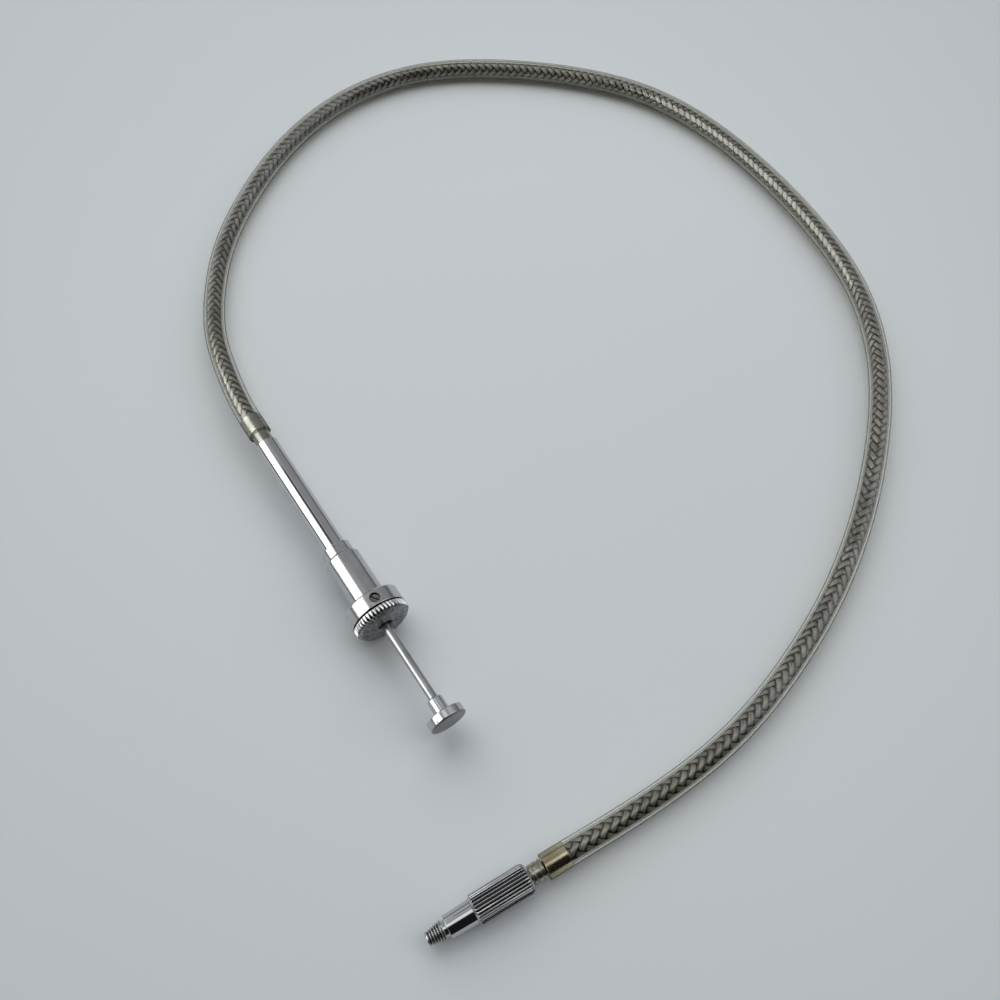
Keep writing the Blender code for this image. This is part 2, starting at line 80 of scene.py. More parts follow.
# Handle, read from the frame.
AXIS_Z = (high("handle_tube").z + low("handle_tube").z) / 2
TUBE_R = radius_of("handle_tube")
COLLAR_R = radius_of("step_collar")
FLANGE_R = radius_of("lock_housing")
ROD_R = radius_of("plunger_rod")
BUTTON_R = radius_of("thumb_button")
TUBE_X, TUBE_END_X = low("handle_tube").x, high("handle_tube").x
COLLAR_X, COLLAR_END_X = low("step_collar").x, high("step_collar").x
BARREL_X, FLANGE_FRONT_X = low("lock_housing").x, high("lock_housing").x
DISC_BACK_X, DISC_FACE_X = low("lock_disc").x, high("lock_disc").x
HUB_X, BUTTON_FACE_X = low("thumb_button").x, high("thumb_button").x
FERRULE_TAIL_X, FERRULE_NOSE_X = low("handle_ferrule").x, high("handle_ferrule").x

# Handle, as drawn in the CAD.
BARREL_R = 3.62 * MM
FLANGE_X = 10.8 * MM
DISC_X = 14.5 * MM
KNURL_END_X = 15.8 * MM
BUTTON_X = 37.5 * MM
HUB_R = 1.57 * MM
NECK_R = 1.9 * MM
DISC_HUB_R = 3.4 * MM
TUBE_WALL = 0.43 * MM
TEETH = 44
SCREW_X = 12.7 * MM
SCREW_R = 0.95 * MM
SCREW_TOP = 5.35 * MM
SCREW_ANGLE = math.radians(6)
SPRING_SEAT_X = high("spring_seat").x

# Tip, with its stations measured from the thread's end towards the cable.
SWIVEL = next(j for j in frame["joints"] if j["name"] == "tip_swivel")
SWIVEL_STATION = 14.8 * MM
TIP_DIRECTION = -Vector(SWIVEL["axis"]).normalized()
TIP_END = Vector(SWIVEL["pos_m"]) - TIP_DIRECTION * SWIVEL_STATION
THREAD_END_R, THREAD_BASE_R = 1.22 * MM, 1.86 * MM
THREAD_LENGTH = 3.2 * MM
THREAD_PITCH = 0.5 * MM
THREAD_DEPTH = 0.24 * MM
RELIEF_R = 1.55 * MM
NOSE_AT = 3.9 * MM
NOSE_R, NOSE_BASE_R = 2.12 * MM, 2.28 * MM
GRIP_AT, GRIP_END = 9.1 * MM, 20.5 * MM
GRIP_R = 2.83 * MM
FLUTES = 28
FLUTE_DEPTH = 0.29 * MM
NECK_AT, NECK_END = 20.7 * MM, 23.2 * MM
TIP_FERRULE_AT, TIP_FERRULE_END = 23.5 * MM, 28.2 * MM
PIN_R = 0.75 * MM

# Cable. The braid has CARRIERS strands of each hand, and each strand has WIRES wires.
SHEATH_X = -35.0 * MM
SHEATH_R, SHEATH_BORE = 2.405 * MM, 1.95 * MM
GRIPPED_R = 2.03 * MM
BRAID_R = 1.5 * MM
BRAID_LIFT = 0.085 * MM
STRAND_WIDTH = 1.0 * MM
STRAND_HALF_THICK = 0.065 * MM
WIRES = 4
CARRIERS = 6

# The cable's way over the surface, in millimetres, from the handle to the tip, as in the CAD.
ROUTE_MM = [
    (-48.0, 0.6, 5.5),
    (-55.0, 1.7, 5.0),
    (-62.4, 3.3, 4.4),
    (-76.5, 9.5, 3.3),
    (-88.8, 18.2, 2.6),
    (-98.2, 28.4, 2.43),
    (-106.0, 39.8, 2.43),
    (-112.0, 52.6, 2.43),
    (-115.4, 73.3, 2.43),
    (-112.7, 87.9, 2.43),
    (-102.2, 106.5, 2.43),
    (-87.9, 122.3, 2.43),
    (-74.8, 132.0, 2.43),
    (-56.5, 138.6, 2.43),
    (-34.0, 140.6, 2.55),
    (-13.6, 139.2, 2.8),
    (6.1, 134.4, 3.0),
    (23.6, 124.4, 3.2),
    (37.7, 111.0, 3.2),
    (47.0, 99.4, 3.05),
    (55.3, 86.5, 2.9),
    (61.8, 73.3, 2.7),
    (66.2, 61.2, 2.55),
    (69.0, 51.1, 2.48),
    (70.7, 41.2, 2.43),
    (71.3, 31.6, 2.43),
    (71.2, 22.2, 2.45),
    (70.7, 13.0, 2.6),
]

# The length of a strand's full turn round the cable, in millimetres, at distances along it in millimetres.
BRAID_LAY = [
    (0.0, 13.0),
    (72.0, 12.9),
    (100.0, 11.2),
    (250.0, 11.3),
    (300.0, 12.0),
    (330.0, 13.2),
    (430.0, 13.0),
]

# How far the weave has turned round the cable, in degrees, at distances along it in millimetres.
WEAVE_TURN = [
    (0.0, -47.0),
    (60.0, -25.0),
    (95.0, -3.0),
    (150.0, 10.0),
    (190.0, 27.0),
    (235.0, 35.0),
    (290.0, 46.0),
    (315.0, 72.0),
    (343.0, 127.0),
    (371.0, 156.0),
    (400.0, 163.0),
    (430.0, 158.0),
]


# The photo's viewpoint: the camera's place in metres, the way it looks, and the picture's rightward way.
CAMERA_AT = (0.08335, -0.01833, 0.18942)
CAMERA_LOOK = Vector((-0.3738, 0.2522, -0.8926))
CAMERA_RIGHT = Vector((0.5593, 0.8290, 0.0))
LENS = 36.0

# What the camera sees beyond the floor.
BACKDROP = (0.43, 0.45, 0.462)


# ---- Materials ----

# How deep the lathe's lines are in a fine, a usual and a coarse finish.
FINE_LINES, USUAL_LINES, COARSE_LINES = 0.0002 * MM, 0.0003 * MM, 0.0008 * MM
# Painted shade laid in the floors of turned grooves.
GROOVE_SHADE = (0.02, 0.019, 0.018)
# Painted shade for the braid's gaps and crossings.
BRAID_SHADE = (0.008, 0.008, 0.007)


def start_material(name):
    made = bpy.data.materials.new(name)
    made.use_nodes = True
    return made, made.node_tree, made.node_tree.nodes["Principled BSDF"]


def grain(tree, per_mm, detail=2.0, source="Object"):
    """Noise in the piece's own coordinates, with its fineness along X, Y and Z."""
    where = tree.nodes.new("ShaderNodeTexCoord")
    stretch = tree.nodes.new("ShaderNodeMapping")
    stretch.inputs["Scale"].default_value = [v / MM for v in per_mm]
    noise = tree.nodes.new("ShaderNodeTexNoise")
    noise.inputs["Scale"].default_value = 1.0
    noise.inputs["Detail"].default_value = detail
    tree.links.new(where.outputs[source], stretch.inputs["Vector"])
    tree.links.new(stretch.outputs["Vector"], noise.inputs["Vector"])
    return noise.outputs["Fac"]


def spread(tree, value, start, end, first=0.35, last=0.65):
    """The value's range from first to last, taken to start to end."""
    remap = tree.nodes.new("ShaderNodeMapRange")
    tree.links.new(value, remap.inputs["Value"])
    remap.inputs["From Min"].default_value = first
    remap.inputs["From Max"].default_value = last
    remap.inputs["To Min"].default_value = start
    remap.inputs["To Max"].default_value = end
    return remap.outputs["Result"]


def mix_colors(tree, share, first, second):
    """From the first colour to the second. Each is a plain colour or the output that gives it."""
    mix = tree.nodes.new("ShaderNodeMix")
    mix.data_type = "RGBA"
    tree.links.new(share, mix.inputs["Factor"])
    for color, place in ((first, mix.inputs["A"]), (second, mix.inputs["B"])):
        if isinstance(color, tuple):
            place.default_value = (*color, 1.0)
        else:
            tree.links.new(color, place)
    return mix.outputs["Result"]


def mix_shaders(tree, share, first, second):
    mix = tree.nodes.new("ShaderNodeMixShader")
    tree.links.new(share, mix.inputs["Fac"])
    tree.links.new(first, mix.inputs[1])
    tree.links.new(second, mix.inputs[2])
    return mix.outputs["Shader"]


def calculate(tree, operation, first, second):
    """A Math node on two values. Each is a plain number or the output that gives it."""
    result = tree.nodes.new("ShaderNodeMath")
    result.operation = operation
    for value, place in ((first, result.inputs[0]), (second, result.inputs[1])):
        if isinstance(value, float):
            place.default_value = value
        else:
            tree.links.new(value, place)
    return result.outputs["Value"]


def multiply(tree, first, second):
    return calculate(tree, "MULTIPLY", first, second)


def add(tree, first, second):
    return calculate(tree, "ADD", first, second)


def above_floor(tree, floor, crest, taper):
    """0 at a groove's floor and 1 at its crest, by the distance from the piece's X axis."""
    where = tree.nodes.new("ShaderNodeTexCoord")
    apart = tree.nodes.new("ShaderNodeSeparateXYZ")
    tree.links.new(where.outputs["Object"], apart.inputs["Vector"])
    across = add(
        tree,
        calculate(tree, "POWER", apart.outputs["Y"], 2.0),
        calculate(tree, "POWER", apart.outputs["Z"], 2.0),
    )
    radius = calculate(tree, "SQRT", across, 0.0)
    level = calculate(tree, "SUBTRACT", radius, multiply(tree, apart.outputs["X"], float(taper)))
    return spread(tree, level, 0.0, 1.0, floor, crest)


def bumps(tree, heights):
    """A normal from several (height, depth in metres) pairs, each laid on the one before."""
    normal = None
    for height, depth in heights:
        bump = tree.nodes.new("ShaderNodeBump")
        bump.inputs["Strength"].default_value = 1.0
        bump.inputs["Distance"].default_value = depth
        tree.links.new(height, bump.inputs["Height"])
        if normal is not None:
            tree.links.new(normal, bump.inputs["Normal"])
        normal = bump.outputs["Normal"]
    return normal


def turned_metal(name, light, dark, smooth, rough, line_depth=FINE_LINES, patch=0.35, grooves=None):
    """Metal turned on a lathe: fine rings round the X axis, faint patches of wear and a few scratches.
    grooves = (floor, crest, taper) are radii between which the groove floors get a painted shade, and
    their growth along X."""
    made, tree, shader = start_material(name)
    shader.inputs["Metallic"].default_value = 1.0
    rings = grain(tree, (14.0, 0.25, 0.25), detail=3.0)
    patches = grain(tree, (patch, patch, patch), detail=4.0)
    scratches = grain(tree, (0.8, 9.0, 9.0), detail=1.0)
    color = mix_colors(tree, spread(tree, patches, 0, 1), light, dark)
    if grooves:
        # Painted shade: darker towards the floors of the grooves.
        color = mix_colors(tree, above_floor(tree, *grooves), GROOVE_SHADE, color)
    tree.links.new(color, shader.inputs["Base Color"])
    wear = spread(tree, patches, smooth, (smooth + rough) / 2)
    lines = spread(tree, rings, 0.0, (rough - smooth) / 2)
    tree.links.new(add(tree, wear, lines), shader.inputs["Roughness"])
    normal = bumps(tree, [(rings, line_depth), (scratches, line_depth / 2)])
    tree.links.new(normal, shader.inputs["Normal"])
    return made


def blasted_metal():
    """Dull etched steel: a fine grit with lighter rubbed spots."""
    made, tree, shader = start_material("blasted_steel")
    shader.inputs["Metallic"].default_value = 1.0
    grit = grain(tree, (9.0, 9.0, 9.0), detail=3.0)
    spots = grain(tree, (1.3, 1.3, 1.3), detail=5.0)
    rubbed = spread(tree, spots, 0, 1, 0.3, 0.72)
    color = mix_colors(tree, rubbed, (0.15, 0.15, 0.155), (0.38, 0.38, 0.38))
    tree.links.new(color, shader.inputs["Base Color"])
    tree.links.new(spread(tree, spots, 0.5, 0.34), shader.inputs["Roughness"])
    tree.links.new(bumps(tree, [(spots, 0.012 * MM), (grit, 0.006 * MM)]), shader.inputs["Normal"])
    return made


def strand_metal():
    """Flat strand of fine drawn wires, with painted shade along its edges and where it dives under others.
    The weave layer says how far each point is over the others, and how much painted shade it gets across
    the strand."""
    made, tree, shader = start_material("strand_steel")
    shader.inputs["Metallic"].default_value = 1.0
    lines = grain(tree, (0.12, 6.0, 1.0), detail=2.0, source="UV")
    patches = grain(tree, (0.22, 0.22, 0.22), detail=4.0)
    fine = grain(tree, (2.5, 2.5, 2.5), detail=2.0)
    weave = tree.nodes.new("ShaderNodeUVMap")
    weave.uv_map = "weave"
    apart = tree.nodes.new("ShaderNodeSeparateXYZ")
    tree.links.new(weave.outputs["UV"], apart.inputs["Vector"])
    edge_shade = spread(tree, apart.outputs["Y"], 0.0, 1.0, 0.05, 0.9)
    dive_shade = spread(tree, apart.outputs["X"], 0.04, 1.0, 0.4, 0.86)
    line_tone = spread(tree, lines, 0.5, 1.0, 0.36, 0.56)
    # Painted shade: darker at the strand's edges, between its wires and where it dives under others. The
    # line tone is the wires' own.
    shade_and_lines = multiply(tree, multiply(tree, edge_shade, dive_shade), line_tone)
    metal = mix_colors(tree, spread(tree, patches, 0, 1), (0.46, 0.465, 0.47), (0.31, 0.315, 0.315))
    tree.links.new(mix_colors(tree, shade_and_lines, BRAID_SHADE, metal), shader.inputs["Base Color"])
    tree.links.new(spread(tree, fine, 0.46, 0.58), shader.inputs["Roughness"])
    tree.links.new(bumps(tree, [(lines, 0.012 * MM), (fine, 0.004 * MM)]), shader.inputs["Normal"])
    return made


def clear_vinyl():
    """Clear tube, slightly yellowed, with a painted shade for its dark outlines where one looks along its
    wall.
    Lamps shine through it, as a thin clear wall lets them."""
    made, tree, shader = start_material("clear_vinyl")
    shader.inputs["Transmission Weight"].default_value = 1.0
    shader.inputs["IOR"].default_value = 1.5
    haze = grain(tree, (0.12, 0.12, 0.12), detail=4.0)
    ripple = grain(tree, (0.35, 0.35, 0.35), detail=2.0)
    color = mix_colors(tree, spread(tree, haze, 0, 1), (0.89, 0.88, 0.825), (0.86, 0.845, 0.755))
    tree.links.new(color, shader.inputs["Base Color"])
    tree.links.new(spread(tree, haze, 0.0, 0.03), shader.inputs["Roughness"])
    tree.links.new(bumps(tree, [(ripple, 0.006 * MM)]), shader.inputs["Normal"])
    outline = tree.nodes.new("ShaderNodeBsdfPrincipled")
    outline.inputs["Base Color"].default_value = (0.06, 0.056, 0.042, 1.0)
    outline.inputs["Roughness"].default_value = 0.5
    outline.inputs["Specular IOR Level"].default_value = 0.2
    facing = tree.nodes.new("ShaderNodeLayerWeight")
    facing.inputs["Blend"].default_value = 0.5
    # Painted shade: a dark shader takes over where one looks along the wall.
    outline_shade = spread(tree, facing.outputs["Facing"], 0.0, 0.85, 0.54, 0.8)
    body = mix_shaders(tree, outline_shade, shader.outputs["BSDF"], outline.outputs["BSDF"])
    through = tree.nodes.new("ShaderNodeBsdfTransparent")
    through.inputs["Color"].default_value = (0.93, 0.91, 0.83, 1.0)
    lamp_ray = tree.nodes.new("ShaderNodeLightPath").outputs["Is Shadow Ray"]
    clear = mix_shaders(tree, lamp_ray, body, through.outputs["BSDF"])
    tree.links.new(clear, tree.nodes["Material Output"].inputs["Surface"])
    return made


def shaded_wound_wire():
    """Close-wound wire, painted dark as the shade under the braid."""
    made, tree, shader = start_material("shaded_wound_wire")
    shader.inputs["Metallic"].default_value = 1.0
    fine = grain(tree, (1.6, 1.6, 1.6), detail=3.0)
    # Painted shade: the wire is coloured dark for the shade under the braid.
    color = mix_colors(tree, fine, (0.05, 0.05, 0.048), (0.13, 0.125, 0.12))
    tree.links.new(color, shader.inputs["Base Color"])
    tree.links.new(spread(tree, fine, 0.5, 0.7), shader.inputs["Roughness"])
    tree.links.new(bumps(tree, [(fine, 0.02 * MM)]), shader.inputs["Normal"])
    return made


def floor_material():
    """Pale matt paper with a painted pool of light: a little darker away from its middle."""
    made, tree, shader = start_material("pale_floor")
    cloud = grain(tree, (0.004, 0.004, 0.004), detail=3.0)
    fibre = grain(tree, (1.1, 1.1, 1.1), detail=2.0)
    middle = mix_colors(tree, spread(tree, cloud, 0, 1), (0.79, 0.83, 0.85), (0.77, 0.812, 0.833))
    where = tree.nodes.new("ShaderNodeTexCoord")
    reach = tree.nodes.new("ShaderNodeVectorMath")
    reach.operation = "DISTANCE"
    tree.links.new(where.outputs["Object"], reach.inputs[0])
    reach.inputs[1].default_value = (0.0, 0.05, 0.0)
    # Painted falloff of light: the paper is painted darker away from its middle.
    pool_of_light = spread(tree, reach.outputs["Value"], 0.0, 1.0, 0.3, 0.08)
    color = mix_colors(tree, pool_of_light, (0.6, 0.635, 0.65), middle)
    tree.links.new(color, shader.inputs["Base Color"])
    shader.inputs["Roughness"].default_value = 0.75
    shader.inputs["Specular IOR Level"].default_value = 0.2
    tree.links.new(bumps(tree, [(fibre, 0.01 * MM)]), shader.inputs["Normal"])
    return made


def black_card():
    made, _, shader = start_material("black_card")
    shader.inputs["Base Color"].default_value = (0.01, 0.01, 0.01, 1.0)
    shader.inputs["Roughness"].default_value = 1.0
    return made


def materials():
    taper = (THREAD_BASE_R - THREAD_END_R) / THREAD_LENGTH
    # Radii between which the thread's roots, the flutes and the teeth's V grooves get a painted shade.
    thread = (THREAD_END_R - 0.26 * MM, THREAD_END_R - 0.06 * MM, taper)
    flutes = (GRIP_R - 0.27 * MM, GRIP_R - 0.03 * MM, 0.0)
    teeth = (FLANGE_R - 0.42 * MM, FLANGE_R - 0.12 * MM, 0.0)
    metal, usual, coarse = turned_metal, USUAL_LINES, COARSE_LINES
    return {
        "tube": metal("polished_chrome", (0.6, 0.605, 0.615), (0.55, 0.555, 0.56), 0.05, 0.09),
        "chrome": metal("turned_chrome", (0.58, 0.585, 0.595), (0.5, 0.505, 0.51), 0.12, 0.22, coarse),
        "button_face": metal("matt_face", (0.3, 0.305, 0.31), (0.25, 0.255, 0.26), 0.3, 0.42, coarse),
        "rod": metal("drawn_rod", (0.46, 0.465, 0.47), (0.34, 0.345, 0.35), 0.16, 0.28, coarse),
        "worn": metal("worn_rim", (0.85, 0.85, 0.84), (0.6, 0.6, 0.6), 0.14, 0.26, usual, 1.5, teeth),
        "screw": metal("screw_steel", (0.3, 0.29, 0.26), (0.14, 0.13, 0.12), 0.25, 0.4, coarse, 1.2),
        "nickel": metal("aged_nickel", (0.5, 0.475, 0.42), (0.3, 0.265, 0.205), 0.2, 0.34, coarse, 0.8),
        "plated": metal("plated_neck", (0.37, 0.37, 0.335), (0.25, 0.25, 0.22), 0.2, 0.32, coarse),
        "brass": metal("aged_brass", (0.57, 0.52, 0.375), (0.39, 0.345, 0.225), 0.1, 0.2, usual),
        "thread": metal("dull_thread", (0.6, 0.6, 0.6), (0.4, 0.4, 0.39), 0.2, 0.34, usual, 1.0, thread),
        "fluted": metal(
            "fluted_chrome", (0.66, 0.665, 0.675), (0.58, 0.585, 0.59), 0.06, 0.12, usual, grooves=flutes
        ),
        "spring": metal("spring_steel", (0.5, 0.5, 0.52), (0.36, 0.36, 0.38), 0.25, 0.38),
        "blasted": blasted_metal(),
        "strand": strand_metal(),
        "vinyl": clear_vinyl(),
        "conduit": shaded_wound_wire(),
        "floor": floor_material(),
        "black": black_card(),
    }


# ---- Meshes ----


def add_mesh(name, points, faces, material, place=None, layers=None):
    """A smooth mesh with crisp creases. layers = {UV layer: a pair for every face corner}."""
    mesh = bpy.data.meshes.new(name)
    mesh.from_pydata(points, [], faces)
    for layer, values in (layers or {}).items():
        mesh.uv_layers.new(name=layer).data.foreach_set("uv", np.asarray(values, np.float32).ravel())
    mesh.materials.append(material)
    mesh.shade_smooth()
    mesh.set_sharp_from_angle(angle=CREASE)
    mesh.validate()
    obj = bpy.data.objects.new(name, mesh)
    bpy.context.scene.collection.objects.link(obj)
    if place is not None:
        obj.matrix_world = place
    return obj


def link_mesh(name, bm, *materials):
    """Puts a finished bmesh in the scene."""
    mesh = bpy.data.meshes.new(name)
    bm.to_mesh(mesh)
    bm.free()
    for material in materials:
        mesh.materials.append(material)
    obj = bpy.data.objects.new(name, mesh)
    bpy.context.scene.collection.objects.link(obj)
    return obj


def flat_sheet(name, half_side, material):
    bm = bmesh.new()
    bmesh.ops.create_grid(bm, x_segments=1, y_segments=1, size=half_side)
    return link_mesh(name, bm, material)


def grid_faces(rows, columns, closed):
    """Quads between rows of a closed ring of columns. A closed grid joins its last row to its first."""
    index = np.arange(rows * columns).reshape(rows, columns)
    after = np.roll(index, -1, axis=0)
    beside = np.roll(index, -1, axis=1)
    corner = np.roll(after, -1, axis=1)
    quads = np.stack([index, beside, corner, after], axis=2)
    if not closed:
        quads = quads[:-1]
    return quads.reshape(-1, 4).tolist()


def rounded(corners, closed):
    """An outline of (x, radius, rounding) corners, each rounded off by a curve with a short straight hold
    on both sides, so that long straight faces keep their own shading."""
    points = []
    last = len(corners) - 1
    for i, (x, r, rounding) in enumerate(corners):
        here = np.array((x, r))
        if rounding == 0 or (not closed and i in (0, last)):
            points.append(here)
            continue
        back = np.array(corners[i - 1][:2]) - here
        ahead = np.array(corners[(i + 1) % len(corners)][:2]) - here
        cut = min(rounding, 0.4 * np.linalg.norm(back), 0.4 * np.linalg.norm(ahead))
        back, ahead = back / np.linalg.norm(back) * cut, ahead / np.linalg.norm(ahead) * cut
        points.append(here + 1.2 * back)
        for t in np.linspace(0.0, 1.0, 6):
            points.append(here + (1 - t) ** 2 * back + t**2 * ahead)
        points.append(here + 1.2 * ahead)
    return np.array(points)


def turn(name, corners, material, place, steps=96, closed=True, reshape=None):
    """A lathe piece about its own X axis. A closed outline makes a bored piece, and an open one, from the
    middle of one end face to the middle of the other, makes a solid one. reshape(x, r, angle) may change
    the radius round the piece."""
    outline = rounded(corners, closed)
    angle = np.linspace(0.0, math.tau, steps, endpoint=False)
    x = np.repeat(outline[:, :1], steps, axis=1)
    r = np.repeat(outline[:, 1:], steps, axis=1)
    if reshape:
        r = reshape(x, r, angle[None, :])
    points = np.stack([x, r * np.sin(angle), r * np.cos(angle)], axis=2).reshape(-1, 3)
    faces = grid_faces(len(outline), steps, closed)
    if not closed:
        first = list(range(steps))
        faces.append(first)
        faces.append([len(points) - steps + i for i in reversed(first)])
    obj = add_mesh(name, points.tolist(), faces, material, place)
    outward(obj)
    return obj


def outward(obj):
    """Turns every face to the outside."""
    bm = bmesh.new()
    bm.from_mesh(obj.data)
    bmesh.ops.recalc_face_normals(bm, faces=bm.faces)
    bm.to_mesh(obj.data)
    bm.free()


def cut(obj, cutter):
    """Takes the cutter's shape out of a piece for good, and then removes the cutter."""
    modifier = obj.modifiers.new("cut", "BOOLEAN")
    modifier.operation = "DIFFERENCE"
    modifier.solver = "EXACT"
    modifier.object = cutter
    bpy.context.view_layer.update()
    graph = bpy.context.evaluated_depsgraph_get()
    made = bpy.data.meshes.new_from_object(obj.evaluated_get(graph))
    obj.modifiers.remove(modifier)
    obj.data = made
    made.shade_smooth()
    made.set_sharp_from_angle(angle=CREASE)
    bpy.data.objects.remove(cutter, do_unlink=True)


def handle_place():
    return Matrix.Translation((0, 0, AXIS_Z))


def tip_place():
    turn_to = TIP_DIRECTION.to_track_quat("X", "Z").to_matrix().to_4x4()
    return Matrix.Translation(TIP_END) @ turn_to


def radial_place(x, radial, angle):
    """A place on the handle at a radius from its axis. The place's Z points outwards."""
    around = Matrix.Rotation(-angle, 4, "X")
    return handle_place() @ Matrix.Translation((x, 0, 0)) @ around @ Matrix.Translation((0, 0, radial))


def drill_place(x, radial, angle):
    """The same place with X pointing outwards, for a turned shape that stands on the handle."""
    return radial_place(x, radial, angle) @ Matrix.Rotation(-math.pi / 2, 4, "Y")


def finish_piece(obj, body, slot, *nodes):
    """Fixes a piece to its body and hides the CAD nodes it stands for. The slot is not used."""
    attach(obj, body)
    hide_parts(*nodes)
    return obj


def paint_where(obj, material, chosen):
    """Gives the faces that chosen(centre, normal) picks a material of their own."""
    obj.data.materials.append(material)
    for face in obj.data.polygons:
        if chosen(face.center, face.normal):
            face.material_index = len(obj.data.materials) - 1


# ---- Handle ----


def make_tube(m):
    bore = TUBE_R - TUBE_WALL
    corners = [
        (TUBE_X, bore, 0.05 * MM),
        (TUBE_X, TUBE_R, 0.14 * MM),
        (TUBE_END_X, TUBE_R, 0.05 * MM),
        (TUBE_END_X, bore, 0.05 * MM),
    ]
    obj = turn("polished_tube", corners, m["tube"], handle_place())
    return finish_piece(obj, "root", "chrome", "handle_tube")


def make_collar(m):
    bore = TUBE_R + 0.05 * MM
    corners = [
        (COLLAR_X, bore, 0.04 * MM),
        (COLLAR_X, COLLAR_R, 0.55 * MM),
        (COLLAR_END_X, COLLAR_R, 0.1 * MM),
        (COLLAR_END_X, bore, 0.04 * MM),
    ]
    obj = turn("step_ring", corners, m["chrome"], handle_place())
    return finish_piece(obj, "root", "chrome", "step_collar")


def make_housing(m):
    """Barrel and flange, with the bore for the tube, the bush and the disc's hub."""
    counterbore_x = 11.7 * MM
    step_x, tube_stop_x = 10.45 * MM, 6.2 * MM
    spigot_bore, bush_bore, tube_bore = 2.0 * MM, 2.95 * MM, TUBE_R + 0.05 * MM
    hub_bore = DISC_HUB_R + 0.08 * MM
    chamfer = 0.4 * MM
    soft, crisp = 0.12 * MM, 0.05 * MM
    corners = [
        (BARREL_X, tube_bore, crisp),
        (BARREL_X, BARREL_R - 0.3 * MM, soft),
        (BARREL_X + 0.3 * MM, BARREL_R, soft),
        (FLANGE_X, BARREL_R, crisp),
        (FLANGE_X, FLANGE_R - chamfer, soft),
        (FLANGE_X + chamfer, FLANGE_R, soft),
        (FLANGE_FRONT_X, FLANGE_R, 0.14 * MM),
        (FLANGE_FRONT_X, hub_bore, crisp),
        (counterbore_x, hub_bore, crisp),
        (counterbore_x, spigot_bore, crisp),
        (step_x, spigot_bore, crisp),
        (step_x, bush_bore, crisp),
        (tube_stop_x, bush_bore, crisp),
        (tube_stop_x, tube_bore, crisp),
    ]
    obj = turn("barrel_and_flange", corners, m["chrome"], handle_place(), steps=160)
    reach, hole_r = 6 * MM, SCREW_R + 0.1 * MM
    place = drill_place(SCREW_X, FLANGE_R + 3 * MM, SCREW_ANGLE)
    hole = [(-reach, hole_r, 0), (reach, hole_r, 0)]
    cut(obj, turn("screw_hole", hole, m["chrome"], place, steps=48, closed=False))
    return finish_piece(obj, "root", "chrome", "lock_housing")


def make_screw(m):
    """Slotted grub screw, sunk a little below the flange's surface. Its point stands in the disc's
    groove."""
    point_at, point_r, body_at = 3.05 * MM, 0.42 * MM, 3.7 * MM
    slot_size, slot_turn = (3 * MM, 0.34 * MM, 0.9 * MM), math.radians(35)
    corners = [
        (point_at, 0.1 * MM, 0),
        (point_at, point_r, 0.05 * MM),
        (body_at - 0.1 * MM, point_r, 0.03 * MM),
        (body_at, SCREW_R, 0.05 * MM),
        (SCREW_TOP, SCREW_R, 0.12 * MM),
        (SCREW_TOP, 0.1 * MM, 0),
    ]
    place = drill_place(SCREW_X, 0, SCREW_ANGLE)
    obj = turn("grub_screw", corners, m["screw"], place, steps=64, closed=False)
    bm = bmesh.new()
    bmesh.ops.create_cube(bm, size=1.0, matrix=Matrix.Diagonal((*slot_size, 1.0)))
    slot = link_mesh("slot", bm)
    on_top = radial_place(SCREW_X, SCREW_TOP, SCREW_ANGLE)
    slot.matrix_world = on_top @ Matrix.Rotation(slot_turn, 4, "Z")
    cut(obj, slot)
    return finish_piece(obj, "root", "steel", "lock_screw")


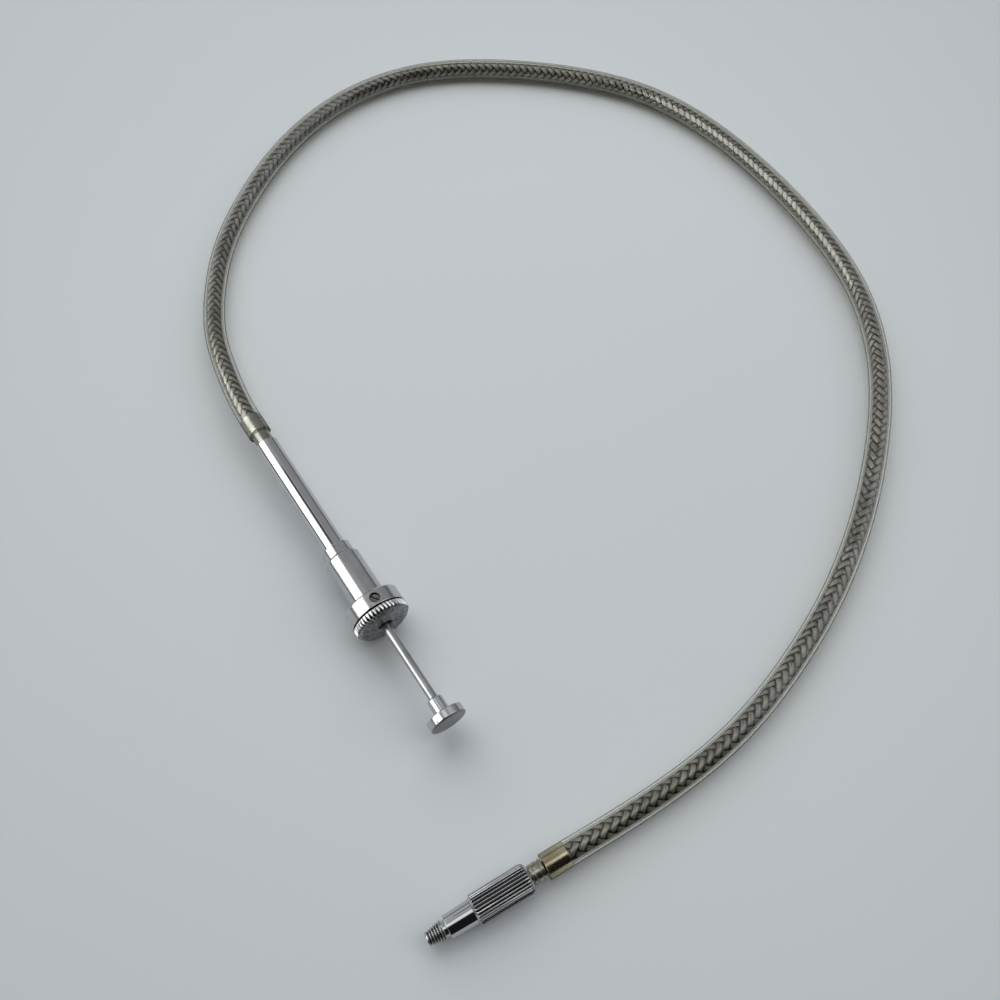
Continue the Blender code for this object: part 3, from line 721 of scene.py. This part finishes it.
def make_disc(m):
    """Lock disc with a serrated rim. The teeth are V grooves that stop at the rim's rounded edge."""
    groove_x, groove_end, groove_r = 12.1 * MM, 13.3 * MM, 2.85 * MM
    cam_r, crisp = 2.25 * MM, 0.04 * MM
    shallow, deep, flank = 0.14 * MM, 0.62 * MM, 1.45
    root_r = FLANGE_R - 0.3 * MM
    edge = DISC_FACE_X - KNURL_END_X
    corners = [
        (DISC_BACK_X, DISC_HUB_R, crisp),
        (groove_x, DISC_HUB_R, crisp),
        (groove_x, groove_r, crisp),
        (groove_end, groove_r, crisp),
        (groove_end, DISC_HUB_R, crisp),
        (DISC_X, DISC_HUB_R, crisp),
        (DISC_X, FLANGE_R - 0.1 * MM, 0),
        (DISC_X + 0.1 * MM, FLANGE_R, 0),
        *[(x, FLANGE_R, 0) for x in np.linspace(DISC_X + 0.25 * MM, KNURL_END_X - 0.08 * MM, 9)],
        (KNURL_END_X, FLANGE_R - 0.1 * MM, 0),
        (KNURL_END_X + 0.3 * edge, root_r - 0.12 * MM, 0),
        (KNURL_END_X + 0.62 * edge, root_r - 0.3 * MM, 0),
        (KNURL_END_X + 0.86 * edge, root_r - 0.5 * MM, 0),
        (DISC_FACE_X, root_r - 0.82 * MM, 0.1 * MM),
        (DISC_FACE_X, 1.6 * MM, 0.12 * MM),
        (DISC_FACE_X - 0.5 * MM, 1.45 * MM, 0.05 * MM),
        (DISC_FACE_X - 0.55 * MM, cam_r, crisp),
        (DISC_BACK_X, cam_r, crisp),
    ]

    def toothed(x, r, angle):
        """V grooves that widen and deepen towards the face, so the teeth end in points."""
        pitch = math.tau / TEETH
        off_groove = np.abs((angle / pitch) % 1.0 - 0.5) * pitch * FLANGE_R
        depth = shallow + (deep - shallow) * np.clip((x - DISC_X) / (KNURL_END_X - DISC_X), 0.0, 1.2)
        groove = FLANGE_R - depth + flank * off_groove
        return np.where(r > 4 * MM, np.minimum(r, groove), r)

    obj = turn("serrated_disc", corners, m["blasted"], handle_place(), steps=TEETH * 12, reshape=toothed)
    start, end = DISC_X - 0.05 * MM, KNURL_END_X + 0.06 * MM
    paint_where(obj, m["worn"], lambda c, n: math.hypot(c.y, c.z) > 4.4 * MM and start < c.x < end)
    return finish_piece(obj, "lock_disc", "blasted_steel", "lock_disc")


def make_rod(m):
    start, end = low("plunger_rod").x, high("plunger_rod").x
    corners = [
        (start, 0.1 * MM, 0),
        (start, ROD_R, 0.08 * MM),
        (end, ROD_R, 0.08 * MM),
        (end, 0.1 * MM, 0),
    ]
    obj = turn("drawn_rod", corners, m["rod"], handle_place(), steps=64, closed=False)
    return finish_piece(obj, "plunger", "steel", "plunger_rod")


def make_button(m):
    """Thumb button on its hub. A tiny hole is drilled in the rim, and its walls are painted dark as shade.
    """
    bore = ROD_R + 0.05 * MM
    blind = BUTTON_X - 0.4 * MM
    corners = [
        (blind, 0.1 * MM, 0),
        (blind, bore, 0.03 * MM),
        (HUB_X, bore, 0.03 * MM),
        (HUB_X, HUB_R - 0.3 * MM, 0.04 * MM),
        (HUB_X + 0.3 * MM, HUB_R, 0.06 * MM),
        (BUTTON_X, HUB_R, 0.05 * MM),
        (BUTTON_X, BUTTON_R - 0.16 * MM, 0.06 * MM),
        (BUTTON_X + 0.16 * MM, BUTTON_R, 0.06 * MM),
        (BUTTON_FACE_X - 0.34 * MM, BUTTON_R, 0.05 * MM),
        (BUTTON_FACE_X - 0.22 * MM, BUTTON_R - 0.06 * MM, 0.04 * MM),
        (BUTTON_FACE_X - 0.08 * MM, BUTTON_R - 0.2 * MM, 0.04 * MM),
        (BUTTON_FACE_X, BUTTON_R - 0.42 * MM, 0.04 * MM),
        (BUTTON_FACE_X, 0.1 * MM, 0),
    ]
    obj = turn("thumb_piece", corners, m["chrome"], handle_place(), steps=128, closed=False)
    hole_x, hole_angle, hole_r, hole_depth = BUTTON_X + 1.45 * MM, math.radians(-33), 0.16 * MM, 0.6 * MM
    place = drill_place(hole_x, BUTTON_R - hole_depth, hole_angle)
    hole = [(0, hole_r, 0), (1 * MM, hole_r, 0)]
    cut(obj, turn("rim_hole", hole, m["chrome"], place, steps=24, closed=False))

    def in_hole(c, n):
        below_rim = BUTTON_R - hole_depth - 0.05 * MM < math.hypot(c.y, c.z) < BUTTON_R - 0.01 * MM
        return below_rim and abs(c.x - hole_x) <= hole_r + 0.001 * MM

    # Painted shade: the hole's walls get the dark wire finish.
    paint_where(obj, m["conduit"], in_hole)
    paint_where(obj, m["button_face"], lambda c, n: n.x > 0.3 and c.x > BUTTON_FACE_X - 0.4 * MM)
    return finish_piece(obj, "plunger", "chrome", "thumb_button")


def make_handle_ferrule(m):
    """Ferrule whose tail the sheath is pushed over. Its neck shows between the sheath and the tube."""
    bore, wire_bore = 1.25 * MM, 0.6 * MM
    nose_r = TUBE_R - TUBE_WALL - 0.05 * MM
    corners = [
        (FERRULE_TAIL_X, bore, 0.04 * MM),
        (FERRULE_TAIL_X, GRIPPED_R, 0.16 * MM),
        (SHEATH_X - 0.25 * MM, GRIPPED_R, 0.04 * MM),
        (SHEATH_X - 0.1 * MM, NECK_R, 0.04 * MM),
        (TUBE_X - 0.35 * MM, NECK_R, 0.05 * MM),
        (TUBE_X - 0.1 * MM, nose_r, 0.05 * MM),
        (FERRULE_NOSE_X, nose_r, 0.05 * MM),
        (FERRULE_NOSE_X, wire_bore, 0.03 * MM),
        (FERRULE_NOSE_X - 0.6 * MM, wire_bore, 0.03 * MM),
        (FERRULE_NOSE_X - 0.6 * MM, bore, 0.03 * MM),
    ]
    obj = turn("cable_ferrule", corners, m["plated"], handle_place())
    return finish_piece(obj, "root", "nickel", "handle_ferrule")


def make_spring(m):
    """Return spring with closed end turns."""
    coil_r, wire_r, turns, per_turn, sides = 1.5 * MM, 0.22 * MM, 19, 40, 12
    start = SPRING_SEAT_X + wire_r + 0.05 * MM
    end = low("plunger_stop").x - wire_r - 0.1 * MM
    share = np.linspace(0.0, 1.0, turns * per_turn + 1)
    turned = share * turns
    close = 1.3 * 2 * wire_r
    inner = np.clip((turned - 1) / (turns - 2), 0.0, 1.0) * (end - start - 2 * close)
    x = start + close * np.clip(turned, 0, 1) + inner + close * np.clip(turned - turns + 1, 0, 1)
    angle = math.tau * turned
    line = np.column_stack([x, coil_r * np.sin(angle), coil_r * np.cos(angle)])
    tangent = np.gradient(line, axis=0)
    tangent /= np.linalg.norm(tangent, axis=1)[:, None]
    outwards = np.column_stack([np.zeros_like(angle), np.sin(angle), np.cos(angle)])
    sideways = np.cross(tangent, outwards)
    around = np.linspace(0.0, math.tau, sides, endpoint=False)
    rings = (
        line[:, None]
        + wire_r * np.cos(around)[None, :, None] * outwards[:, None]
        + wire_r * np.sin(around)[None, :, None] * sideways[:, None]
    )
    faces = grid_faces(len(line), sides, closed=False)
    faces.append(list(range(sides)))
    faces.append([sides * (len(line) - 1) + i for i in reversed(range(sides))])
    obj = add_mesh("coil_spring", rings.reshape(-1, 3).tolist(), faces, m["spring"], handle_place())
    outward(obj)
    finish_piece(obj, "root", "spring_steel", "return_spring")
    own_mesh(obj)
    return obj


# ---- Cable ----


def smooth_route():
    """Closely spaced points on a clamped cubic spline from the handle's ferrule to the tip's."""
    face_gap = 0.3 * MM
    first = np.array((FERRULE_TAIL_X - face_gap, 0.0, AXIS_Z))
    last = np.array(TIP_END + TIP_DIRECTION * (TIP_FERRULE_END + face_gap))
    knots = np.vstack([first, np.array(ROUTE_MM) * MM, last])
    spans = np.linalg.norm(np.diff(knots, axis=0), axis=1)
    slopes = np.diff(knots, axis=0) / spans[:, None]
    count = len(knots)
    system = np.zeros((count, count))
    right = np.zeros((count, 3))
    system[0, 0] = system[-1, -1] = 1.0
    right[0] = (-1.0, 0.0, 0.0)
    right[-1] = -np.array(TIP_DIRECTION)
    for i in range(1, count - 1):
        before, after = spans[i - 1], spans[i]
        system[i, i - 1 : i + 2] = after, 2.0 * (before + after), before
        right[i] = 3.0 * (after * slopes[i - 1] + before * slopes[i])
    tangents = np.linalg.solve(system, right)
    fine = []
    for i, span in enumerate(spans):
        for s in np.linspace(0.0, 1.0, 60, endpoint=False):
            h00, h10 = 2 * s**3 - 3 * s**2 + 1, s**3 - 2 * s**2 + s
            h01, h11 = 1 - h00, s**3 - s**2
            bend = h10 * tangents[i] + h11 * tangents[i + 1]
            fine.append(h00 * knots[i] + h01 * knots[i + 1] + span * bend)
    return np.vstack([fine, knots[-1]])


class CableLine:
    """The cable's centreline, from inside the handle to inside the tip, with its own up and side
    directions. Distances along it start at the handle's ferrule tail."""

    def __init__(self):
        route = smooth_route()
        inside_handle = np.array([(FERRULE_TAIL_X + 8 * MM, 0.0, AXIS_Z)])
        inside_tip = np.array([TIP_END + TIP_DIRECTION * 20 * MM])
        line = np.vstack([inside_handle, route, inside_tip])
        steps = np.linalg.norm(np.diff(line, axis=0), axis=1)
        self.along = np.concatenate([[0.0], np.cumsum(steps)]) - steps[0]
        self.centre = line
        tangent = np.gradient(line, self.along, axis=0)
        tangent /= np.linalg.norm(tangent, axis=1)[:, None]
        up = np.array((0.0, 0.0, 1.0)) - tangent * tangent[:, 2:3]
        self.up = up / np.linalg.norm(up, axis=1)[:, None]
        self.side = np.cross(tangent, self.up)
        self.handle_end = 0.0
        self.tip_end = self.along[-1] - steps[-1]

    def read(self, values, along):
        return np.stack([np.interp(along, self.along, values[:, k]) for k in range(3)], axis=-1)

    def place(self, along, angle, radius):
        """Points at an angle from up and a distance from the centreline."""
        across = np.cos(angle)[..., None] * self.read(self.up, along)
        across = across + np.sin(angle)[..., None] * self.read(self.side, along)
        return self.read(self.centre, along) + np.asarray(radius)[..., None] * across


def make_sheath(m, cable):
    """Clear tube with a real wall. It swells slightly where it grips the two ferrules."""
    sides, edge, grip, grip_length = 56, 0.07 * MM, 0.05 * MM, 5 * MM
    start = cable.handle_end + (FERRULE_TAIL_X - 0.3 * MM - SHEATH_X)
    end = cable.tip_end + (TIP_FERRULE_END + 0.3 * MM - TIP_FERRULE_AT)
    along = np.linspace(start, end, 420)
    swell = grip * np.exp(-(((along - start) / grip_length) ** 4))
    swell += grip * np.exp(-(((end - along) / grip_length) ** 4))
    waver = 0.012 * MM * np.sin(along / (9 * MM)) * np.sin(along / (31 * MM))
    outer = SHEATH_R + swell + waver
    inner = SHEATH_BORE + swell + waver
    outer[0] -= edge
    outer[-1] -= edge
    along_out = along.copy()
    along_out[1] = start + edge
    along_out[-2] = end - edge
    rows = np.concatenate([along_out, along[::-1]])
    radii = np.concatenate([outer, inner[::-1]])
    angle = np.linspace(0.0, math.tau, sides, endpoint=False)
    grid = cable.place(
        np.repeat(rows[:, None], sides, axis=1),
        np.repeat(angle[None, :], len(rows), axis=0),
        np.repeat(radii[:, None], sides, axis=1),
    )
    faces = grid_faces(len(rows), sides, closed=True)
    obj = add_mesh("clear_sheath", grid.reshape(-1, 3).tolist(), faces, m["vinyl"])
    outward(obj)
    finish_piece(obj, "root", "clear_sheath", "cable_sheath")
    path = cable.read(cable.centre, along)
    return obj, path, end - start


def weave_turn(along):
    """The weave's turn round the cable, smoothed so that it has no corners."""
    known = np.array(WEAVE_TURN)
    offsets = np.linspace(-12.0, 12.0, 9)
    spots = along[..., None] / MM + offsets
    return np.radians(np.interp(spots, known[:, 0], known[:, 1]).mean(axis=-1))


def make_strand(m, cable, number, turning):
    """One flat strand of the braid. It runs over two strands of the other hand, and then under two."""
    flat, samples, slack = 0.48, 1500, 2.1
    top = np.linspace(-flat, flat, 17)
    wire = np.abs(np.sin(math.pi * WIRES * (top + flat) / (2 * flat)))
    crown = 1.25 - 1.2 * (2 * np.abs(top)) ** 3
    spots = np.concatenate([[-0.5], top, [0.5, 0.25, -0.25]])
    height = np.concatenate([[-0.4], crown - 0.55 + 0.55 * wire, [-0.4, -0.8, -0.8]]) * STRAND_HALF_THICK
    fall = np.clip((0.45 - np.abs(top)) / 0.1, 0.0, 1.0)
    # Painted shade across the strand: dark at its edges and in the gaps between its wires.
    shade_and_lines = np.concatenate([[0.0], fall * (0.35 + 0.65 * np.clip(1.6 * wire, 0.0, 1.0)), [0.0] * 3])
    start, end = cable.handle_end - 0.2 * MM, cable.tip_end + 0.25 * MM
    along = np.linspace(start, end, samples)
    lay = np.interp(along / MM, *np.array(BRAID_LAY).T) * MM
    turned = np.concatenate([[0.0], np.cumsum(math.tau / lay[1:] * np.diff(along))])
    angle = turning * turned + number * math.tau / CARRIERS
    swing = np.cos(3 * (angle - math.radians(15)))
    over = turning * np.tanh(slack * swing) / math.tanh(slack)
    slant = math.atan(math.tau * BRAID_R / lay.mean())
    width = spots * STRAND_WIDTH
    shifted = along[:, None] - turning * math.sin(slant) * width[None, :]
    radius = (BRAID_R + BRAID_LIFT * over)[:, None] + height[None, :]
    around = angle[:, None] + math.cos(slant) * width[None, :] / BRAID_R + weave_turn(shifted)
    grid = cable.place(shifted, around, radius)
    columns = len(spots)
    faces = grid_faces(samples, columns, closed=False)
    caps = [list(range(columns)), [columns * (samples - 1) + i for i in reversed(range(columns))]]
    row, column = np.divmod(np.array(faces).ravel(), columns)
    lengthwise = along[row] / math.cos(slant)
    loose = np.zeros((2 * columns, 2))
    texture = np.vstack([np.column_stack([lengthwise, width[column]]), loose])
    weave = np.vstack([np.column_stack([over[row] / 2 + 0.5, shade_and_lines[column]]), loose])
    name = f"braid_strand_{'right' if turning > 0 else 'left'}_{number + 1}"
    layers = {"UVMap": texture, "weave": weave}
    obj = add_mesh(name, grid.reshape(-1, 3).tolist(), faces + caps, m["strand"], layers=layers)
    finish_piece(obj, "root", "braid_steel", "cable_braid")
    return obj


# ---- Tip ----


def make_tip_ferrule(m):
    bore = 1.25 * MM
    corners = [
        (TIP_FERRULE_AT, bore, 0.04 * MM),
        (TIP_FERRULE_AT, GRIPPED_R, 0.12 * MM),
        (TIP_FERRULE_END, GRIPPED_R, 0.14 * MM),
        (TIP_FERRULE_END, bore, 0.04 * MM),
    ]
    obj = turn("brass_ferrule", corners, m["brass"], tip_place())
    return finish_piece(obj, "root", "brass", "tip_ferrule")


def make_tip_neck(m):
    """Neck with two turned grooves. Its headed stem sits inside the grip."""
    head_at, head_end = 15.0 * MM, 17.6 * MM
    stem_r, head_r, neck_r = 1.3 * MM, 1.65 * MM, 1.85 * MM
    bore_pin, bore_wire, cable_bore = 0.85 * MM, 0.6 * MM, 1.2 * MM
    deep, crisp = 0.2 * MM, 0.03 * MM
    grooves = [(21.35 * MM, 21.62 * MM, neck_r), (22.4 * MM, 22.68 * MM, neck_r + 0.03 * MM)]
    corners = [
        (head_at, bore_pin, crisp),
        (head_at, head_r, 0.1 * MM),
        (head_end, head_r, 0.1 * MM),
        (head_end, stem_r, crisp),
        (NECK_AT, stem_r, crisp),
        (NECK_AT, neck_r, 0.16 * MM),
    ]
    for begin, stop, outer in grooves:
        corners += [
            (begin, outer, 0.05 * MM),
            (begin + 0.05 * MM, neck_r - deep, crisp),
            (stop - 0.05 * MM, neck_r - deep, crisp),
            (stop, outer, 0.05 * MM),
        ]
    corners += [
        (NECK_END, neck_r + 0.06 * MM, 0.08 * MM),
        (NECK_END, cable_bore, crisp),
        (22.1 * MM, cable_bore, crisp),
        (22.1 * MM, bore_wire, crisp),
        (20.9 * MM, bore_wire, crisp),
        (20.9 * MM, bore_pin, crisp),
    ]
    obj = turn("grooved_neck", corners, m["nickel"], tip_place())
    return finish_piece(obj, "root", "nickel", "tip_neck")


def make_grip(m):
    """Fluted sleeve: V flutes cut along a turned blank, so they run out on its chamfer and rounded end."""
    bore, rear_bore, wall_at = 1.75 * MM, 1.38 * MM, 17.9 * MM
    chamfer = 0.5 * MM
    front_r, rise = GRIP_R - FLUTE_DEPTH - 0.22 * MM, chamfer - 0.04 * MM
    front = [(GRIP_AT + chamfer * t, front_r + rise * t, 0) for t in np.linspace(0, 1, 9)]
    dome = []
    dome_length, dome_depth = 1.35 * MM, 0.95 * MM
    for turned in np.radians(np.linspace(0, 82, 16)):
        x = GRIP_END - dome_length * (1 - math.sin(turned))
        dome.append((x, GRIP_R - dome_depth * (1 - math.cos(turned)), 0))
    corners = [
        (GRIP_AT, bore, 0.04 * MM),
        *front,
        *dome,
        (GRIP_END, rear_bore, 0.04 * MM),
        (wall_at, rear_bore, 0.03 * MM),
        (wall_at, bore, 0.03 * MM),
    ]

    def fluted(x, r, angle):
        off_crest = np.abs((angle * FLUTES / math.tau) % 1.0 - 0.5) * 2.0
        flute = GRIP_R - FLUTE_DEPTH * np.clip(1.3 * off_crest - 0.14, 0.0, 1.0)
        return np.where(r > rear_bore + 0.5 * MM, np.minimum(r, flute), r)

    obj = turn("fluted_grip", corners, m["fluted"], tip_place(), steps=FLUTES * 16, reshape=fluted)
    paint_where(obj, m["chrome"], lambda c, n: n.x < -0.3 or n.x > 0.5)
    return finish_piece(obj, "tip_grip", "chrome", "grip_sleeve")


def make_nipple(m):
    """Plain nose with the conical release thread cut as a real helix."""
    bore, tail_r, tail_end = PIN_R + 0.08 * MM, 1.7 * MM, 14.6 * MM
    gap_r, crisp = RELIEF_R - 0.2 * MM, 0.02 * MM
    stations = np.linspace(0.03 * MM, THREAD_LENGTH, 121)
    crests = THREAD_END_R + (THREAD_BASE_R - THREAD_END_R) * stations / THREAD_LENGTH
    corners = [
        (0.0, bore, 0.03 * MM),
        *[(x, r, 0) for x, r in zip(stations, crests)],
        (THREAD_LENGTH + 0.08 * MM, RELIEF_R, 0),
        (NOSE_AT - 0.14 * MM, RELIEF_R, crisp),
        (NOSE_AT - 0.1 * MM, gap_r, crisp),
        (NOSE_AT, gap_r, crisp),
        (NOSE_AT, NOSE_R - 0.08 * MM, 0.03 * MM),
        (NOSE_AT + 0.08 * MM, NOSE_R, 0.03 * MM),
        (GRIP_AT - 0.05 * MM, NOSE_BASE_R, 0.04 * MM),
        (GRIP_AT - 0.05 * MM, tail_r, 0.04 * MM),
        (tail_end, tail_r, 0.05 * MM),
        (tail_end, bore, 0.03 * MM),
    ]

    def threaded(x, r, angle):
        phase = (x / THREAD_PITCH - angle / math.tau) % 1.0
        groove = THREAD_DEPTH * np.clip(1.25 * np.abs(2.0 * phase - 1.0) - 0.12, 0.0, 1.0)
        fade = np.clip(np.minimum(x / (0.35 * MM), (THREAD_LENGTH - x) / (0.3 * MM)), 0.0, 1.0)
        on_thread = (x < THREAD_LENGTH) & (r > bore + 0.1 * MM)
        return np.where(on_thread, r - groove * fade, r)

    obj = turn("threaded_nose", corners, m["tube"], tip_place(), steps=96, reshape=threaded)
    paint_where(obj, m["thread"], lambda c, n: c.x < THREAD_LENGTH + 0.05 * MM)
    return finish_piece(obj, "tip_grip", "chrome", "threaded_nipple")


def make_pin(m):
    start, end, wire_bore = 0.4 * MM, 20.4 * MM, 0.55 * MM
    corners = [
        (start, 0.08 * MM, 0),
        (start, PIN_R, 0.16 * MM),
        (end, PIN_R, 0.05 * MM),
        (end, wire_bore, 0.03 * MM),
        (start + 0.8 * MM, wire_bore, 0.03 * MM),
        (start + 0.8 * MM, 0.08 * MM, 0),
    ]
    obj = turn("trip_pin", corners, m["rod"], tip_place(), steps=48, closed=False)
    return finish_piece(obj, "tip_pin", "steel", "tip_pin")


# ---- Carried-over nodes, floor, light and camera ----


def paint_nodes(m):
    """Materials for the inner CAD nodes that stay as they are."""
    kinds = {
        "brass": ["guide_bush", "plunger_stop", "spring_seat", "wire_coupling"],
        "rod": ["lock_ball"],
        "spring": ["inner_wire"],
        "conduit": ["cable_conduit"],
    }
    for kind, nodes in kinds.items():
        for node in nodes:
            for place in frame["nodes"][node].material_slots:
                place.material = m[kind]


def make_floor(m):
    floor = flat_sheet("floor", 3.0, m["floor"])
    floor.location = (0, 0, -0.1 * MM)


def add_panel(name, spot, size, radiance, unseen_by):
    """A soft rectangular lamp that shines at the object, and is left out for some kinds of ray."""
    lamp = bpy.data.lights.new(name, "AREA")
    lamp.shape = "RECTANGLE"
    lamp.size, lamp.size_y = size
    lamp.energy = radiance * math.pi * size[0] * size[1]
    obj = bpy.data.objects.new(name, lamp)
    bpy.context.scene.collection.objects.link(obj)
    obj.location = spot
    obj.rotation_euler = (-Vector(spot)).to_track_quat("-Z", "Y").to_euler()
    for kind in ("camera", *unseen_by):
        setattr(obj, f"visible_{kind}", False)


def lobe(tree, where, towards, first, last):
    """0 to 1 as the direction turns towards the given one, by the cosines where it starts and is full."""
    dot = tree.nodes.new("ShaderNodeVectorMath")
    dot.operation = "DOT_PRODUCT"
    tree.links.new(where, dot.inputs[0])
    dot.inputs[1].default_value = Vector(towards).normalized()
    return spread(tree, dot.outputs["Value"], 0.0, 1.0, first, last)


def make_room():
    """A grey room, paler on one side and overhead, with a bright window, dark below the horizon, and with
    a dark figure leaning in from the front. The camera itself sees the plain backdrop."""
    world = bpy.data.worlds.new("room")
    bpy.context.scene.world = world
    world.use_nodes = True
    tree = world.node_tree
    where = tree.nodes.new("ShaderNodeTexCoord").outputs["Generated"]
    pale = lobe(tree, where, (-0.8, -0.1, 0.5), 0.78, 0.95)
    overhead = lobe(tree, where, (-0.08, 0.0, 1.0), 0.955, 0.985)
    window = lobe(tree, where, (0.3, 0.6, 0.75), 0.8, 0.95)
    figure = lobe(tree, where, (0.7, -0.4, 0.45), 0.5, 0.66)
    raised = lobe(tree, where, (0.0, 0.0, 1.0), 0.0, 0.3)
    horizon = spread(tree, raised, 1.0, 0.0, 0.0, 1.0)
    behind = tree.nodes.new("ShaderNodeLightPath").outputs["Is Camera Ray"]
    color = (0.33, 0.338, 0.35)
    shades = (
        (pale, (0.54, 0.55, 0.565)),
        (window, (1.2, 1.22, 1.25)),
        (overhead, (1.15, 1.16, 1.17)),
        (horizon, (0.1, 0.09, 0.07)),
        (figure, (0.012, 0.012, 0.013)),
        (behind, BACKDROP),
    )
    for share, shade in shades:
        color = mix_colors(tree, share, color, shade)
    tree.links.new(color, tree.nodes["Background"].inputs["Color"])


def make_light():
    """The room, a panel for the bright streaks on the metal, and one for the floor's light and shadows."""
    make_room()
    add_panel("side_panel", (-0.41, -0.683, 0.604), (1.05, 0.86), 2.6, ("diffuse",))
    add_panel("back_panel", (-0.65, 0.25, 0.72), (1.2, 0.9), 1.35, ("glossy", "transmission"))


def make_card(m):
    """A black card over the handle's tube, seen in its polish alone, as a camera would be."""
    card = flat_sheet("card", 0.5, m["black"])
    card.scale = (38 * MM, 26 * MM, 1.0)
    card.location = (-77 * MM, -5 * MM, 130 * MM)
    for kind in ("camera", "diffuse", "transmission", "shadow"):
        setattr(card, f"visible_{kind}", False)


def make_camera():
    """The lens is as long as the sensor is wide."""
    camera = bpy.data.cameras.new("camera")
    camera.lens = LENS
    camera.sensor_width = LENS
    camera.clip_start = 10 * MM
    obj = bpy.data.objects.new("camera", camera)
    bpy.context.scene.collection.objects.link(obj)
    back = -CAMERA_LOOK.normalized()
    up = back.cross(CAMERA_RIGHT).normalized()
    right = up.cross(back)
    turn_to = Matrix((right, up, back)).transposed().to_4x4()
    obj.matrix_world = Matrix.Translation(CAMERA_AT) @ turn_to
    bpy.context.scene.camera = obj


def build():
    m = materials()
    make_camera()
    cable = CableLine()
    sheath, path, length = make_sheath(m, cable)
    strands = [make_strand(m, cable, number, turning) for number in range(CARRIERS) for turning in (1, -1)]
    make_tube(m)
    make_collar(m)
    make_housing(m)
    make_screw(m)
    make_disc(m)
    make_rod(m)
    make_button(m)
    make_handle_ferrule(m)
    make_spring(m)
    tip = [make_tip_ferrule(m), make_tip_neck(m), make_grip(m), make_nipple(m), make_pin(m)]
    paint_nodes(m)
    make_floor(m)
    make_light()
    make_card(m)
    bpy.context.scene.view_settings.view_transform = "Standard"


build()
